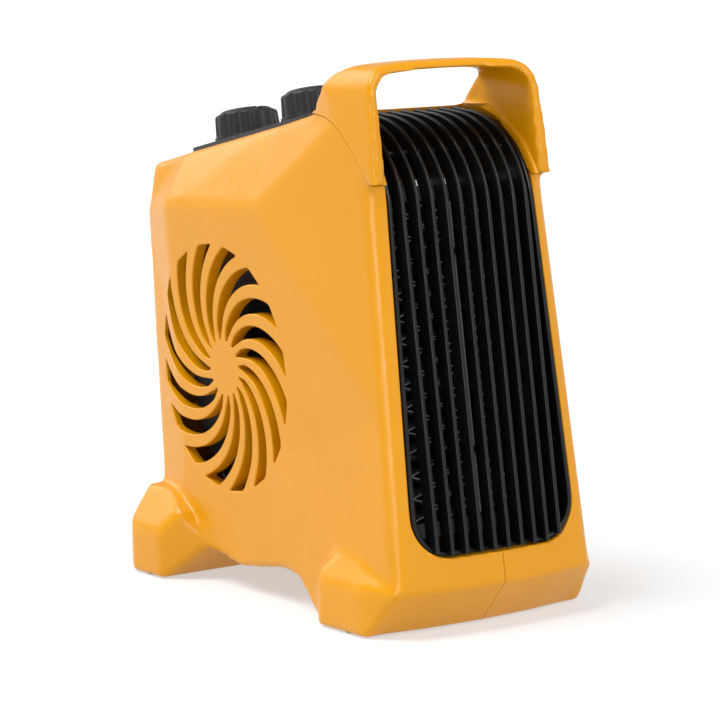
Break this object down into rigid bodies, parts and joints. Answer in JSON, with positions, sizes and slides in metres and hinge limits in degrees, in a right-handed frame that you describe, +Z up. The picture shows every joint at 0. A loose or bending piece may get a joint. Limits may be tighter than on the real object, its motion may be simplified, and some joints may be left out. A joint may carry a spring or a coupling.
{
  "type": "ceramic space heater",
  "caption": "Upright portable ceramic heater with a ribbed front grille, slotted side intakes, a carrying handle, two dials on a sloping top, and a blower behind a finned element.",
  "frame": {"origin": "centre of the base on the floor", "axes": "+Z up, -Y out of the front grille, +X to the right side seen from the back"},
  "size_m": [0.1292, 0.2532, 0.27],
  "materials": {
    "yellow_shell": "moulded, semi-gloss",
    "grille_black": "moulded, semi-gloss",
    "panel_black": "fine texture",
    "knob_black": "satin",
    "pointer_white": "satin",
    "plated_steel": "zinc plated",
    "duct_black": "moulded, heat resistant",
    "wheel_grey": "moulded",
    "copper": "enamelled winding and wire",
    "bronze": "sintered",
    "rubber_black": "matt",
    "aluminium": "bright",
    "ptc_ceramic": "fired, metallised",
    "brass": "bright",
    "insulator_white": "heat resistant insulator"
  },
  "bodies": {
    "casing": {"left_shell": "yellow_shell", "right_shell": "yellow_shell", "handle": "yellow_shell", "handle_screws": "plated_steel", "front_grille": "grille_black", "control_panel": "panel_black", "panel_screws": "plated_steel", "selector_switch": "insulator_white", "thermostat_body": "insulator_white", "thermostat_contacts": "brass", "blower_scroll": "duct_black", "inlet_plate_left": "duct_black", "inlet_plate_right": "duct_black", "motor_can": "plated_steel", "motor_stator": "copper", "motor_bearings": "bronze", "motor_bracket": "plated_steel", "motor_dampers": "rubber_black", "motor_screws": "plated_steel", "heater_frame": "duct_black", "heater_fins": "aluminium", "heater_tubes": "aluminium", "ceramic_stones": "ptc_ceramic", "heater_terminals": "brass", "heater_insulators": "insulator_white", "thermal_cutout": "insulator_white", "thermal_fuse": "aluminium", "tilt_switch": "duct_black", "terminal_block": "insulator_white", "terminal_screws": "brass", "cord_clamp": "insulator_white", "cord_bush": "rubber_black", "shell_screws": "plated_steel", "foot_pads": "rubber_black", "wiring": "copper"},
    "mode_dial": {"mode_knob": "knob_black", "mode_pointer": "pointer_white", "selector_shaft": "plated_steel"},
    "thermostat_dial": {"thermostat_knob": "knob_black", "thermostat_pointer": "pointer_white", "thermostat_shaft": "plated_steel"},
    "impeller": {"blower_wheel": "wheel_grey", "motor_shaft": "plated_steel"}
  },
  "joints": [
    {"name": "mode_turn", "type": "hinge", "parent": "casing", "child": "mode_dial", "pos_m": [0, 0.088, 0.22257], "axis": [0, 0.1736, 0.9848], "range_deg": [0, 135]},
    {"name": "thermostat_turn", "type": "hinge", "parent": "casing", "child": "thermostat_dial", "pos_m": [0, 0.023, 0.23403], "axis": [0, 0.1736, 0.9848], "range_deg": [0, 270]},
    {"name": "fan_spin", "type": "hinge", "parent": "casing", "child": "impeller", "pos_m": [0, 0.035, 0.115], "axis": [1, 0, 0], "continuous": true}
  ]
}
